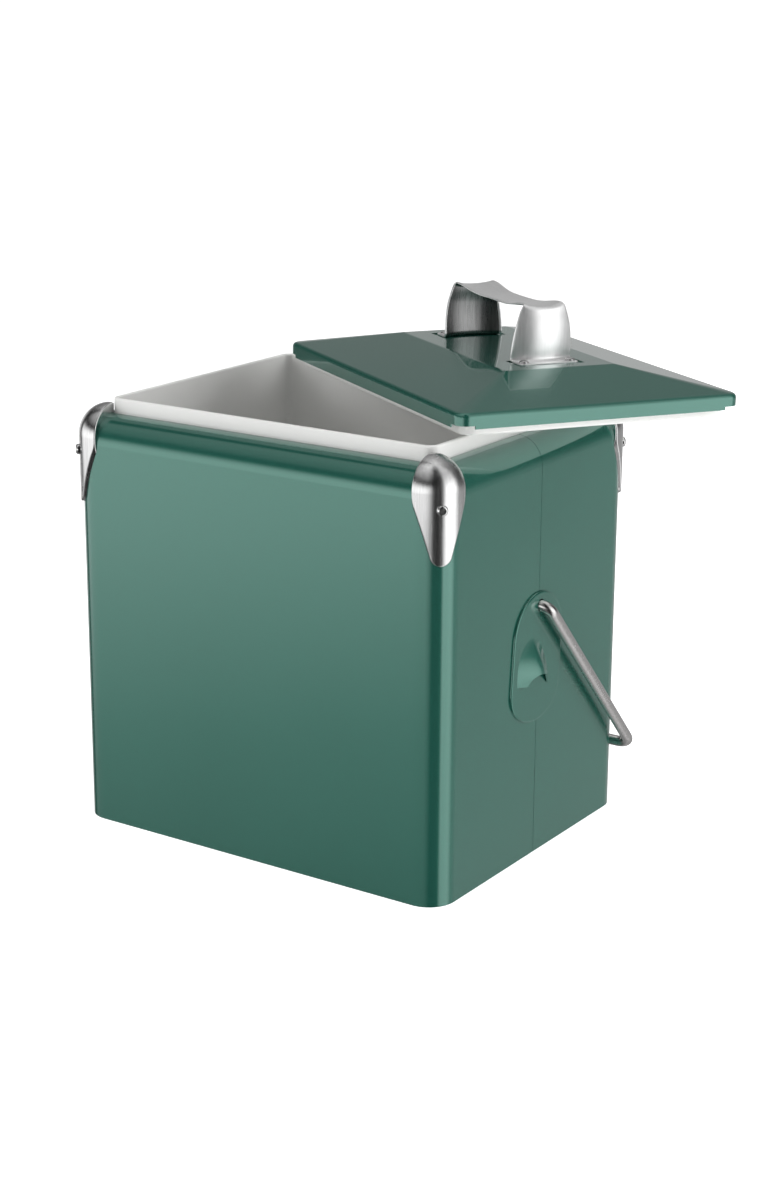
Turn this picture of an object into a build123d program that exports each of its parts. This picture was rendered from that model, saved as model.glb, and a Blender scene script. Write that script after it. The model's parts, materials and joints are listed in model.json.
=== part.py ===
from build123d import *
import os
from math import sqrt

os.makedirs("parts", exist_ok=True)

# A carry cooler: a sheet-steel chest with a white tub, a lid lying askew across its mouth and a round
# bail swung down behind it. Millimetres, +Z up, origin on the floor under the middle of the chest.
# -Y is the wide front, +X the narrow side with the bottle opener.

# ---- driving dimensions -------------------------------------------------------------------------
CHEST_WIDTH = 310.0
CHEST_DEPTH = 250.0
CHEST_HEIGHT = 300.0
CORNER_RADIUS = 20.0
SHOULDER_RADIUS = 19.8
SHEET = 1.0
SEAM_GAP = 0.4

LIP_WIDTH = 270.0
LIP_DEPTH = 210.0
LIP_RADIUS = 8.0
LIP_TOP = 310.7
TUB_WALL = 3.0
TUB_TAPER = 6.0
TUB_FLOOR = 30.0
LIP_GAP = 0.5

PAN_FLANGE = 12.0
FOAM_GAP = 1.4

PIVOT_HEIGHT = 183.0
BAIL_RADIUS = 4.0
BAIL_REACH = 190.0
BAIL_STAND_OFF = 8.0
BAIL_BEND = 8.0
BAIL_CORNER = 11.0
BAIL_END = 138.0
BAIL_BACK_GAP = 0.3
PIVOT_HOLE_RADIUS = 4.4
SOCKET_BORE_RADIUS = 4.08

PLATE_WIDTH = 65.0
PLATE_THICKNESS = 1.8
PLATE_TOP_CENTRE = -22.7
PLATE_LOW_CENTRE = -59.0
PLATE_LOW_HEIGHT = 24.0
PLATE_TILT = -4.5
HOOD_TILT = -7.5

LID_LENGTH = 276.0
LID_DEPTH = 215.0
LID_RADIUS = 8.0
LID_SKIRT = 10.2
LID_EDGE_ROUND = 3.2
LID_PANEL_ROUND = 7.0
LID_NOTCH_REACH = 12.0
LID_NOTCH_RISE = 2.3
LID_PANEL_LENGTH = 157.0
LID_PANEL_DEPTH = 86.0
LID_PANEL_HEIGHT = 24.1
PLUG_LENGTH = 262.0
PLUG_DEPTH = 202.0
PLUG_RADIUS = 10.0
PLUG_DROP = 5.8

HANDLE_WALL_RADIUS = 47.6
HANDLE_WALL_AXIS = 8.4
HANDLE_SHEET = 1.5
HANDLE_FOOT_START = 47.0
HANDLE_FOOT_END = 65.0
HANDLE_FOOT_WIDTH = 44.0
RIVET_X = 59.5
RIVET_Y = 18.0

# The lid lies askew on the lip: turned about the upright axis and leaning a little to the right
# and the rear.
LID_PLANE = Plane(Location((79.9, 73.5, 318.2), (-0.8, 0.9, -30.6)))
# Seen along the lid's length, and seen across it.
LID_END_VIEW = Plane(LID_PLANE.origin, x_dir=LID_PLANE.y_dir, z_dir=LID_PLANE.x_dir)
LID_SIDE_VIEW = Plane(LID_PLANE.origin, x_dir=LID_PLANE.x_dir, z_dir=-LID_PLANE.y_dir)

SIDES = {"right": 1, "left": -1}
CORNERS = {
    "front_right": (1, -1),
    "front_left": (-1, -1),
    "rear_right": (1, 1),
    "rear_left": (-1, 1),
}
# The front right cap is fitted a little round from its corner's diagonal: degrees toward the right side.
CORNER_TURNS = {"front_right": 3.0}


def save(builder, name):
    """Label a finished piece and write it to its own file."""
    builder.part.label = name
    export_step(builder.part, f"parts/{name}.step")


# ---- blanks that several pieces are cut from ----------------------------------------------------
def rounded_block(growth, height):
    """The chest's outside, grown by a distance all round: a box with rounded corners and shoulder."""
    with BuildPart() as block:
        with BuildSketch():
            RectangleRounded(CHEST_WIDTH + 2 * growth, CHEST_DEPTH + 2 * growth, CORNER_RADIUS + growth)
        extrude(amount=height)
        fillet(block.edges().group_by(Axis.Z)[-1], SHOULDER_RADIUS + growth)
    return block.part


def tapered_block(inset, bottom, top, taper):
    """The tub's outside, shrunk by an inset all round, narrower at the bottom by the taper."""
    width = LIP_WIDTH - 2 * inset
    depth = LIP_DEPTH - 2 * inset
    with BuildPart() as block:
        with BuildSketch(Plane.XY.offset(bottom)):
            RectangleRounded(width - 2 * taper, depth - 2 * taper, LIP_RADIUS - inset)
        with BuildSketch(Plane.XY.offset(top)):
            RectangleRounded(width, depth, LIP_RADIUS - inset)
        loft(ruled=True)
    return block.part


def at_lid_height(edges, height):
    """Those edges whose middle lies at a height above the lid's own base plane."""
    return [edge for edge in edges if abs(LID_PLANE.to_local_coords(edge @ 0.5).Z - height) < 0.05]


def faceted_block(inset):
    """The lid's outside, shrunk by an inset all round: a skirt, four sloping facets and a panel."""
    length = LID_LENGTH - 2 * inset
    depth = LID_DEPTH - 2 * inset
    with BuildPart() as block:
        with BuildSketch(LID_PLANE):
            RectangleRounded(length, depth, LID_RADIUS - inset)
        extrude(amount=LID_SKIRT - inset)
        with BuildSketch(LID_PLANE.offset(LID_SKIRT - inset)):
            RectangleRounded(length, depth, LID_RADIUS - inset)
        with BuildSketch(LID_PLANE.offset(LID_PANEL_HEIGHT - inset)):
            RectangleRounded(LID_PANEL_LENGTH - inset, LID_PANEL_DEPTH - inset, 2.0)
        loft(ruled=True)
        fillet(at_lid_height(block.edges(), LID_SKIRT - inset), LID_EDGE_ROUND - inset)
        fillet(at_lid_height(block.edges(), LID_PANEL_HEIGHT - inset), LID_PANEL_ROUND)
    return block.part


chest_outside = rounded_block(0, CHEST_HEIGHT)
chest_inside = rounded_block(-SHEET, CHEST_HEIGHT - SHEET)
lid_outside = faceted_block(0)
lid_inside = faceted_block(SHEET)

# ---- places worked out from the driving dimensions ----------------------------------------------
half_width = CHEST_WIDTH / 2
half_depth = CHEST_DEPTH / 2
inner_half_width = half_width - SHEET
bail_back = half_depth + BAIL_RADIUS + BAIL_BACK_GAP
bail_drop = sqrt(BAIL_REACH**2 - bail_back**2)
bail_arm_half = half_width + BAIL_STAND_OFF
pocket_half_length = LIP_WIDTH / 2 - 0.5
screw_height = 274.4
screw_shank_radius = 1.75
socket_end = 141.0
stud_places = [(-17.0, -43.0), (17.0, -43.0)]
stud_radius = 2.0


def side_plane(sign, x):
    """An upright plane square to X at a distance x out on one side, its own x running along +Y."""
    return Plane((sign * x, 0, 0), x_dir=(0, 1, 0), z_dir=(1, 0, 0))


def plate_plane(sign, x):
    """The same plane in the side plate's own frame: its origin at the pivot, turned by the plate's tilt."""
    tilt = PLATE_TILT if sign > 0 else 0.0
    return Plane(Location((sign * x, 0, PIVOT_HEIGHT), (tilt, 0, 0)) * Plane.YZ.location)


def corner_plane(corner, distance):
    """An upright plane square to a corner's diagonal, measured from the middle of the corner's round."""
    sx, sy = CORNERS[corner]
    out = Vector(sx, sy, 0).normalized().rotate(Axis.Z, CORNER_TURNS.get(corner, 0.0))
    middle = Vector(sx * (half_width - CORNER_RADIUS), sy * (half_depth - CORNER_RADIUS), 0)
    return Plane(middle + out * distance, x_dir=Vector(0, 0, 1).cross(out), z_dir=out)


def cross_bore(plane, places, radius, depth):
    """Cut round holes through the piece being built, from a plane along its normal."""
    with BuildSketch(plane) as holes:
        with Locations(*places):
            Circle(radius)
    extrude(holes.sketch, amount=depth, mode=Mode.SUBTRACT)


# ---- casing -------------------------------------------------------------------------------------
def casing_half(keep_side):
    """Cut one half of the casing out of the whole wrap; keep_side is -1 for front and 1 for rear."""
    add(chest_outside)
    add(chest_inside, mode=Mode.SUBTRACT)
    with BuildSketch(Plane.XY.offset(CHEST_HEIGHT / 2)) as mouth:
        RectangleRounded(LIP_WIDTH + 2 * LIP_GAP, LIP_DEPTH + 2 * LIP_GAP, LIP_RADIUS + LIP_GAP)
    extrude(mouth.sketch, amount=CHEST_HEIGHT, mode=Mode.SUBTRACT)
    with BuildSketch(Plane.XY) as other_half:
        with Locations((0, -keep_side * (half_depth - SEAM_GAP / 2))):
            Rectangle(2 * CHEST_WIDTH, CHEST_DEPTH)
    extrude(other_half.sketch, amount=2 * CHEST_HEIGHT, mode=Mode.SUBTRACT)


def casing_holes():
    """Cut the pivot, stud and corner-screw holes in the casing piece being built."""
    for sign in SIDES.values():
        plane = plate_plane(sign, half_width + 2)
        cross_bore(plane, [(0, 0)], PIVOT_HOLE_RADIUS, -sign * 10)
        cross_bore(plane, stud_places, stud_radius + 0.2, -sign * 10)
    for corner in CORNERS:
        plane = corner_plane(corner, CORNER_RADIUS + 2)
        cross_bore(plane, [(0, screw_height)], screw_shank_radius + 0.1, -8)


# The front half carries an upright tongue on each side that laps behind the rear half at the seam.
tongue_height = 262.0
tongue_foot = 14.0
tongue_gap = 0.2
tongue_width = 18.0
tongue_root = 9.0

with BuildPart() as shell_front:
    casing_half(-1)
    for sign in SIDES.values():
        middle = sign * (inner_half_width - tongue_gap - SHEET / 2)
        with BuildSketch(Plane.XY.offset(tongue_foot)):
            with Locations((middle, tongue_width / 2 - 10)):
                Rectangle(SHEET, tongue_width)
            with Locations((middle + sign * tongue_gap, tongue_root / 2 - 10)):
                Rectangle(SHEET + 2 * tongue_gap, tongue_root)
        extrude(amount=tongue_height)
    casing_holes()
save(shell_front, "shell_front")

with BuildPart() as shell_rear:
    casing_half(1)
    casing_holes()
save(shell_rear, "shell_rear")

# The bottom pan: a flat sheet with an upturned flange inside the casing.
pan_gap = 0.2
pan_edge_round = 1.5
with BuildPart() as bottom_pan:
    with BuildSketch():
        RectangleRounded(
            CHEST_WIDTH - 2 * (SHEET + pan_gap), CHEST_DEPTH - 2 * (SHEET + pan_gap), CORNER_RADIUS - SHEET
        )
    extrude(amount=PAN_FLANGE)
    fillet(bottom_pan.edges().group_by(Axis.Z)[0], pan_edge_round)
    top_face = bottom_pan.faces().sort_by(Axis.Z)[-1]
    offset(amount=-SHEET, openings=top_face)
save(bottom_pan, "bottom_pan")

# ---- tub and foam -------------------------------------------------------------------------------
liner_break = 296.0
liner_flange = 4.0
liner_flange_thickness = 1.8
with BuildPart() as inner_liner:
    add(tapered_block(0, TUB_FLOOR, liner_break, TUB_TAPER))
    with BuildSketch(Plane.XY.offset(liner_break)):
        RectangleRounded(LIP_WIDTH, LIP_DEPTH, LIP_RADIUS)
    extrude(amount=LIP_TOP - liner_break)
    with BuildSketch(Plane.XY.offset(liner_break)):
        RectangleRounded(
            LIP_WIDTH + 2 * liner_flange, LIP_DEPTH + 2 * liner_flange, LIP_RADIUS + liner_flange
        )
    extrude(amount=liner_flange_thickness)
    add(tapered_block(TUB_WALL, TUB_FLOOR + TUB_WALL, liner_break, TUB_TAPER), mode=Mode.SUBTRACT)
    with BuildSketch(Plane.XY.offset(liner_break)):
        RectangleRounded(LIP_WIDTH - 2 * TUB_WALL, LIP_DEPTH - 2 * TUB_WALL, LIP_RADIUS - TUB_WALL)
    extrude(amount=LIP_TOP - liner_break, mode=Mode.SUBTRACT)
    fillet(inner_liner.edges().group_by(Axis.Z)[-1], TUB_WALL / 2 - 0.1)
save(inner_liner, "inner_liner")

foam_width = CHEST_WIDTH - 2 * (SHEET + FOAM_GAP)
foam_depth = CHEST_DEPTH - 2 * (SHEET + FOAM_GAP)
foam_radius = CORNER_RADIUS - SHEET
with BuildPart() as insulation_base:
    with BuildSketch(Plane.XY.offset(SHEET + 0.1)):
        RectangleRounded(foam_width, foam_depth, foam_radius)
    extrude(amount=TUB_FLOOR - SHEET - 0.2)
save(insulation_base, "insulation_base")

foam_top = liner_break - 0.2
foam_shoulder_round = 16.0
pivot_pocket_radius = 13.0
stud_pocket_radius = 6.0
stud_pocket_depth = 9.0
screw_pocket_radius = 3.0
screw_pocket_depth = 14.0
with BuildPart() as insulation_walls:
    with BuildSketch(Plane.XY.offset(TUB_FLOOR)):
        RectangleRounded(foam_width, foam_depth, foam_radius)
    extrude(amount=foam_top - TUB_FLOOR)
    fillet(insulation_walls.edges().group_by(Axis.Z)[-1], foam_shoulder_round)
    add(tapered_block(-0.2, TUB_FLOOR - 1, liner_break + 1, TUB_TAPER), mode=Mode.SUBTRACT)
    for sign in SIDES.values():
        # a pocket behind each pivot and a blind pocket behind each stud
        plane = plate_plane(sign, half_width)
        cross_bore(plane, [(0, 0)], pivot_pocket_radius, -sign * (half_width - pocket_half_length))
        cross_bore(plane, stud_places, stud_pocket_radius, -sign * stud_pocket_depth)
    for corner in CORNERS:
        plane = corner_plane(corner, CORNER_RADIUS)
        cross_bore(plane, [(0, screw_height)], screw_pocket_radius, -screw_pocket_depth)
save(insulation_walls, "insulation_walls")

# ---- corner caps and their screws ---------------------------------------------------------------
CAP_SHEET = 1.2
CAP_GAP = 0.05
CAP_PROUD = 2.2
CAP_HALF_WIDTH = 17.8
CAP_WIDEST = 283.0
CAP_CROWN = 285.0
CAP_TIP = 237.0
CAP_EDGE_ROUND = 1.2
SCREW_HEAD_RADIUS = 3.7
SCREW_HEAD_HEIGHT = 2.4
SCREW_CROWN_ROUND = 1.6
SCREW_LENGTH = 10.0
CROSS_LENGTH = 4.4
CROSS_WIDTH = 1.1
CROSS_DEPTH = 1.3

cap_rest = rounded_block(CAP_GAP, CHEST_HEIGHT + CAP_GAP)


def cap_blank(corner, inset):
    """A corner cap as a solid teardrop that stands proud of the corner, shrunk by an inset."""
    front = corner_plane(corner, -10)
    above = Plane(corner_plane(corner, 0).origin, x_dir=front.x_dir, z_dir=(0, 0, -1))
    radius = CORNER_RADIUS + CAP_PROUD - inset
    with BuildPart() as blank:
        # a round post with a ball top, standing on the axis of the chest's round corner
        with BuildSketch(corner_plane(corner, 0)):
            with BuildLine():
                Polyline((0, CAP_CROWN + radius), (0, CAP_TIP - 10), (radius, CAP_TIP - 10))
                Line((radius, CAP_TIP - 10), (radius, CAP_CROWN))
                RadiusArc((radius, CAP_CROWN), (0, CAP_CROWN + radius), -radius)
            make_face()
        revolve(axis=Axis(corner_plane(corner, 0).origin, (0, 0, 1)))
        # seen along the corner's diagonal: full width at the shoulder, tapering to a round tip
        with BuildSketch(front):
            with BuildLine():
                Line((0, CAP_WIDEST + 30), (CAP_HALF_WIDTH, CAP_WIDEST + 30))
                Line((CAP_HALF_WIDTH, CAP_WIDEST + 30), (CAP_HALF_WIDTH, CAP_WIDEST))
                flank = TangentArc((CAP_HALF_WIDTH, CAP_WIDEST), (16.7, CAP_WIDEST - 8), tangent=(0, -1))
                taper = Line(flank @ 1, (7.6, CAP_TIP + 6.5))
                ThreePointArc(taper @ 1, (5.3, CAP_TIP + 2.1), (0, CAP_TIP))
                mirror(about=Plane.YZ)
            make_face()
            offset(amount=-inset, kind=Kind.INTERSECTION)
        extrude(amount=60, mode=Mode.INTERSECT)
        # seen from above: two edges that meet in a point at the lip's corner
        with BuildSketch(above):
            with BuildLine():
                edge = ThreePointArc((0, -2.9), (9.0, 4.9), (18.6, 12.9))
                Polyline(edge @ 1, (18.6, 40), (0, 40))
                mirror(about=Plane.YZ)
            make_face()
            offset(amount=-inset, kind=Kind.INTERSECTION)
        extrude(amount=-400, mode=Mode.INTERSECT)
    return blank.part


for corner in CORNERS:
    cap_hollow = cap_blank(corner, CAP_SHEET)
    with BuildPart() as corner_cap:
        add(cap_blank(corner, 0))
        fillet([e for e in corner_cap.edges() if e.distance_to(cap_rest) > CAP_PROUD / 2], CAP_EDGE_ROUND)
        add(cap_rest, mode=Mode.SUBTRACT)
        add(cap_hollow, mode=Mode.SUBTRACT)
        cross_bore(corner_plane(corner, 0), [(0, screw_height)], screw_shank_radius + 0.1, 40)
    save(corner_cap, f"corner_cap_{corner}")

    seat = CORNER_RADIUS + CAP_PROUD + 0.05
    with BuildPart() as corner_screw:
        with BuildSketch(corner_plane(corner, seat)):
            with Locations((0, screw_height)):
                Circle(SCREW_HEAD_RADIUS)
        extrude(amount=SCREW_HEAD_HEIGHT)
        outward = Axis(corner_plane(corner, 0).origin, corner_plane(corner, 0).z_dir)
        fillet(corner_screw.edges().group_by(outward)[-1], SCREW_CROWN_ROUND)
        with BuildSketch(corner_plane(corner, seat)):
            with Locations((0, screw_height)):
                Circle(screw_shank_radius)
        extrude(amount=-SCREW_LENGTH)
        with BuildSketch(corner_plane(corner, seat + SCREW_HEAD_HEIGHT - CROSS_DEPTH)):
            with Locations((0, screw_height)):
                Rectangle(CROSS_LENGTH, CROSS_WIDTH)
                Rectangle(CROSS_WIDTH, CROSS_LENGTH)
        extrude(amount=2 * CROSS_DEPTH, mode=Mode.SUBTRACT)
    save(corner_screw, f"corner_screw_{corner}")

# ---- side plates, their nuts and the pivot sockets ----------------------------------------------
HOOD_MOUTH = 127.0
HOOD_MIDDLE = -2.0
# half width, stand-off and height of the hood's sections above its mouth
HOOD_SECTIONS = [(20.5, 8.2, 0.0), (19.5, 7.6, 9.0), (16.5, 5.7, 19.0), (10.5, 3.2, 27.5), (4.0, 1.1, 32.5)]
HOOD_SHEET = 1.4
BITE_HALF_WIDTH = 11.5
BITE_HEIGHT = 9.0
PLATE_EDGE_ROUND = 1.0
STUD_LENGTH = 8.0
NUT_RADIUS = 4.4
NUT_HEIGHT = 3.0
SOCKET_FLANGE_RADIUS = 12.0
SOCKET_FLANGE_THICKNESS = 1.5
SOCKET_RADIUS = 7.0
RING_THICKNESS = 0.9
socket_start = inner_half_width - 1.3


def plate_blank(sign):
    """The plate round the pivot: a half round above, a flatter half oval below."""
    with BuildSketch(plate_plane(sign, half_width)) as outline:
        with Locations((0, PLATE_TOP_CENTRE)):
            Circle(PLATE_WIDTH / 2)
        with Locations((0, PLATE_LOW_CENTRE)):
            Ellipse(PLATE_WIDTH / 2, PLATE_LOW_HEIGHT)
        make_hull()
    extrude(outline.sketch, amount=sign * PLATE_THICKNESS)


def hood_blank(sections, shrink):
    """The opener's hood as a solid bulge that stands on the right plate, shrunk by a wall thickness."""
    with BuildPart() as bulge:
        for half, stand, rise in sections:
            with BuildSketch(Plane.XY.offset(HOOD_MOUTH + rise - shrink)):
                with Locations((plate_face, HOOD_MIDDLE)):
                    Ellipse(stand - shrink, half - shrink)
        loft()
        split(bisect_by=Plane.YZ.offset(plate_face - 0.2), keep=Keep.TOP)
        # the round bite in the middle of the mouth, clear of the plate
        with BuildSketch(Plane.YZ.offset(plate_face + 0.5)):
            with Locations((HOOD_MIDDLE, HOOD_MOUTH - 1.5)):
                Ellipse(BITE_HALF_WIDTH, BITE_HEIGHT)
        extrude(amount=20, mode=Mode.SUBTRACT)
    return bulge.part.rotate(Axis((0, 0, PIVOT_HEIGHT), (1, 0, 0)), HOOD_TILT)


plate_face = half_width + PLATE_THICKNESS
hood_outside = hood_blank(HOOD_SECTIONS, 0)
hood_inside = hood_blank(HOOD_SECTIONS[:-1], HOOD_SHEET)

for side, sign in SIDES.items():
    with BuildPart() as side_plate:
        plate_blank(sign)
        outer_edges = side_plate.edges().group_by(Axis.X)[-1 if sign > 0 else 0]
        fillet(outer_edges, PLATE_EDGE_ROUND)
        with BuildSketch(plate_plane(sign, half_width)):
            with Locations(*stud_places):
                Circle(stud_radius)
        extrude(amount=-sign * STUD_LENGTH)
        if side == "right":
            add(hood_outside)
            add(hood_inside, mode=Mode.SUBTRACT)
        cross_bore(plate_plane(sign, half_width - 2), [(0, 0)], PIVOT_HOLE_RADIUS, sign * 10)
    save(side_plate, f"side_plate_{side}")

    with BuildPart() as side_plate_nuts:
        with BuildSketch(plate_plane(sign, socket_start)):
            with Locations(*stud_places):
                RegularPolygon(NUT_RADIUS, 6)
                Circle(stud_radius + 0.05, mode=Mode.SUBTRACT)
        extrude(amount=-sign * NUT_HEIGHT)
    save(side_plate_nuts, f"side_plate_nuts_{side}")

    with BuildPart() as pivot_socket:
        with BuildSketch(side_plane(sign, socket_start)):
            with Locations((0, PIVOT_HEIGHT)):
                Circle(SOCKET_FLANGE_RADIUS)
        extrude(amount=-sign * SOCKET_FLANGE_THICKNESS)
        with BuildSketch(side_plane(sign, socket_start)):
            with Locations((0, PIVOT_HEIGHT)):
                Circle(SOCKET_RADIUS)
        extrude(amount=-sign * (socket_start - socket_end))
        cross_bore(side_plane(sign, half_width), [(0, PIVOT_HEIGHT)], SOCKET_BORE_RADIUS, -sign * 30)
    save(pivot_socket, f"pivot_socket_{side}")

    with BuildPart() as bail_ring:
        with BuildSketch(side_plane(sign, socket_end - 0.3)):
            with Locations((0, PIVOT_HEIGHT)):
                Circle(SOCKET_RADIUS)
                Circle(BAIL_RADIUS, mode=Mode.SUBTRACT)
        extrude(amount=-sign * RING_THICKNESS)
    save(bail_ring, f"bail_ring_{side}")

# ---- bail ---------------------------------------------------------------------------------------
# The bail's plane holds both pivots and the crossbar, which hangs against the chest's back.
bail_plane = Plane((0, 0, PIVOT_HEIGHT), x_dir=(1, 0, 0), z_dir=Vector(0, bail_drop, bail_back).normalized())
with BuildPart() as bail_handle:
    with BuildLine(bail_plane) as bail_path:
        FilletPolyline(
            (-BAIL_END, 0),
            (-bail_arm_half, 0),
            (-bail_arm_half, BAIL_REACH),
            (bail_arm_half, BAIL_REACH),
            (bail_arm_half, 0),
            (BAIL_END, 0),
            radius=[BAIL_BEND, BAIL_CORNER, BAIL_CORNER, BAIL_BEND],
        )
    with BuildSketch(Plane(bail_path.line @ 0, z_dir=bail_path.line % 0)):
        Circle(BAIL_RADIUS)
    sweep()
save(bail_handle, "bail_handle")

# ---- lid ----------------------------------------------------------------------------------------
FOOT_POCKET = 0.8
POCKET_MARGIN = 7.0
POCKET_LENGTH = 21.0
rivet_places = [(sx * RIVET_X, sy * RIVET_Y) for sx in (1, -1) for sy in (1, -1)]
foot_middle = (HANDLE_FOOT_END + HANDLE_FOOT_START) / 2
rivet_radius = 1.75

with BuildPart() as lid_shell:
    add(lid_outside)
    add(lid_inside, mode=Mode.SUBTRACT)
    # shallow pockets that the handle's feet sit in
    with BuildSketch(LID_PLANE.offset(LID_PANEL_HEIGHT - SHEET - FOOT_POCKET)):
        with Locations((foot_middle + 1, 0), (-foot_middle - 1, 0)):
            RectangleRounded(POCKET_LENGTH + 2 * SHEET, HANDLE_FOOT_WIDTH + POCKET_MARGIN + 2 * SHEET, 2.5)
    extrude(amount=SHEET)
    with BuildSketch(LID_PLANE.offset(LID_PANEL_HEIGHT - FOOT_POCKET)):
        with Locations((foot_middle + 1, 0), (-foot_middle - 1, 0)):
            RectangleRounded(POCKET_LENGTH, HANDLE_FOOT_WIDTH + POCKET_MARGIN, 1.5)
    extrude(amount=2 * FOOT_POCKET, mode=Mode.SUBTRACT)
    cross_bore(LID_PLANE.offset(10), rivet_places, rivet_radius + 0.1, 20)
    # the skirt is relieved at its four corners
    lid_corners = [(sx * LID_LENGTH / 2, sy * LID_DEPTH / 2) for sx in (1, -1) for sy in (1, -1)]
    cross_bore(LID_PLANE, lid_corners, LID_NOTCH_REACH, LID_NOTCH_RISE)
save(lid_shell, "lid_shell")

flange_top = LID_SKIRT - SHEET - LID_EDGE_ROUND
flange_thickness = 1.6
with BuildPart() as lid_liner:
    with BuildSketch(LID_PLANE.offset(-PLUG_DROP)):
        RectangleRounded(PLUG_LENGTH, PLUG_DEPTH, PLUG_RADIUS)
    extrude(amount=PLUG_DROP + flange_top)
    fillet(lid_liner.edges().group_by(Axis(LID_PLANE.origin, LID_PLANE.z_dir))[0], 2.0)
    with BuildSketch(LID_PLANE.offset(flange_top - flange_thickness)):
        RectangleRounded(LID_LENGTH - 2 * SHEET - 0.6, LID_DEPTH - 2 * SHEET - 0.6, LID_RADIUS - SHEET - 0.3)
    extrude(amount=flange_thickness)
    with BuildSketch(LID_PLANE.offset(2.0 - PLUG_DROP)):
        RectangleRounded(PLUG_LENGTH - 4, PLUG_DEPTH - 4, PLUG_RADIUS - 2)
    extrude(amount=PLUG_DROP + flange_top, mode=Mode.SUBTRACT)
save(lid_liner, "lid_liner")

foam_gap = 0.3
with BuildPart() as lid_insulation:
    with BuildSketch(LID_PLANE.offset(2.1 - PLUG_DROP)):
        RectangleRounded(PLUG_LENGTH - 4.6, PLUG_DEPTH - 4.6, PLUG_RADIUS - 2.3)
    extrude(amount=PLUG_DROP + flange_top - 2.1)
    with BuildSketch(LID_PLANE.offset(flange_top)):
        RectangleRounded(PLUG_LENGTH - 16, PLUG_DEPTH - 16, 4.2)
    with BuildSketch(LID_PLANE.offset(LID_PANEL_HEIGHT - SHEET - FOOT_POCKET - foam_gap)):
        RectangleRounded(LID_PANEL_LENGTH - 12, LID_PANEL_DEPTH - 10, 2.0)
    loft(ruled=True)
    # room for the rivets' tails and washers
    cross_bore(LID_PLANE.offset(LID_PANEL_HEIGHT - 8), rivet_places, 7.5, 10)
save(lid_insulation, "lid_insulation")

# The handle: two cupped end walls that roll over into a dipping bridge, with a foot outside each wall.
HANDLE_TOP = 64.0
BRIDGE_TOP = 60.2
BRIDGE_FLAT = 14.0
ROLL = 7.0
foot_bottom = LID_PANEL_HEIGHT - FOOT_POCKET
foot_top = foot_bottom + HANDLE_SHEET


def handle_half(sign):
    """One cupped wall with its half of the bridge, turned about the cup's upright axis and trimmed."""
    axis_x = sign * HANDLE_WALL_AXIS
    flat_end = axis_x + sign * BRIDGE_FLAT
    wall = axis_x + sign * HANDLE_WALL_RADIUS
    inner = wall - sign * HANDLE_SHEET
    roll_start = wall - sign * ROLL
    with BuildPart() as half:
        with BuildSketch(LID_SIDE_VIEW):
            with BuildLine():
                Line((axis_x, BRIDGE_TOP - HANDLE_SHEET), (axis_x, BRIDGE_TOP))
                Line((axis_x, BRIDGE_TOP), (flat_end, BRIDGE_TOP))
                Spline((flat_end, BRIDGE_TOP), (roll_start, HANDLE_TOP), tangents=[(sign, 0), (sign, 0)])
                TangentArc((roll_start, HANDLE_TOP), (wall, HANDLE_TOP - ROLL), tangent=(sign, 0))
                Line((wall, HANDLE_TOP - ROLL), (wall, foot_bottom))
                Line((wall, foot_bottom), (inner, foot_bottom))
                Line((inner, foot_bottom), (inner, HANDLE_TOP - ROLL))
                under = (roll_start, HANDLE_TOP - HANDLE_SHEET)
                TangentArc((inner, HANDLE_TOP - ROLL), under, tangent=(0, 1))
                Spline(
                    (roll_start, HANDLE_TOP - HANDLE_SHEET),
                    (flat_end, BRIDGE_TOP - HANDLE_SHEET),
                    tangents=[(-sign, 0), (-sign, 0)],
                )
                Line((flat_end, BRIDGE_TOP - HANDLE_SHEET), (axis_x, BRIDGE_TOP - HANDLE_SHEET))
            make_face()
        revolve(axis=Axis(LID_PLANE.from_local_coords((axis_x, 0, 0)), LID_PLANE.z_dir))
        # the arched outline seen from the end
        with BuildSketch(LID_END_VIEW.offset(axis_x)):
            with BuildLine():
                Line((-24.2, foot_bottom), (24.2, foot_bottom))
                Line((24.2, foot_bottom), (24.0, 38))
                ThreePointArc((24.0, 38), (22.0, 51.0), (14.8, HANDLE_TOP + 0.5))
                Line((14.8, HANDLE_TOP + 0.5), (-14.8, HANDLE_TOP + 0.5))
                ThreePointArc((-14.8, HANDLE_TOP + 0.5), (-22.0, 51.0), (-24.0, 38))
                Line((-24.0, 38), (-24.2, foot_bottom))
            make_face()
        extrude(amount=sign * 60, mode=Mode.INTERSECT)
    return half.part


handle_halves = [handle_half(sign) for sign in (1, -1)]

with BuildPart() as lid_handle:
    for half in handle_halves:
        add(half)
    with BuildSketch(LID_PLANE.offset(BRIDGE_TOP - HANDLE_SHEET)):
        Rectangle(2 * HANDLE_WALL_AXIS + 2, 26)
    extrude(amount=HANDLE_SHEET)
    # the bridge narrows towards its middle
    with BuildSketch(LID_PLANE.offset(BRIDGE_TOP - 5)):
        with BuildLine():
            ThreePointArc((-44, 14), (0, 12), (44, 14))
            Polyline((44, 14), (44, 30), (-44, 30), (-44, 14))
        make_face()
        mirror(about=Plane.XZ)
    extrude(amount=20, mode=Mode.SUBTRACT)
    for sign in (1, -1):
        axis_x = sign * HANDLE_WALL_AXIS
        with BuildSketch(LID_PLANE.offset(foot_bottom)):
            with Locations((sign * foot_middle, 0)):
                RectangleRounded(HANDLE_FOOT_END - HANDLE_FOOT_START, HANDLE_FOOT_WIDTH, 3)
            with Locations((axis_x, 0)):
                Circle(HANDLE_WALL_RADIUS - HANDLE_SHEET / 2, mode=Mode.SUBTRACT)
        extrude(amount=HANDLE_SHEET)
    cross_bore(LID_PLANE.offset(foot_bottom - 1), rivet_places, rivet_radius + 0.1, 5)
save(lid_handle, "lid_handle")

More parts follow.
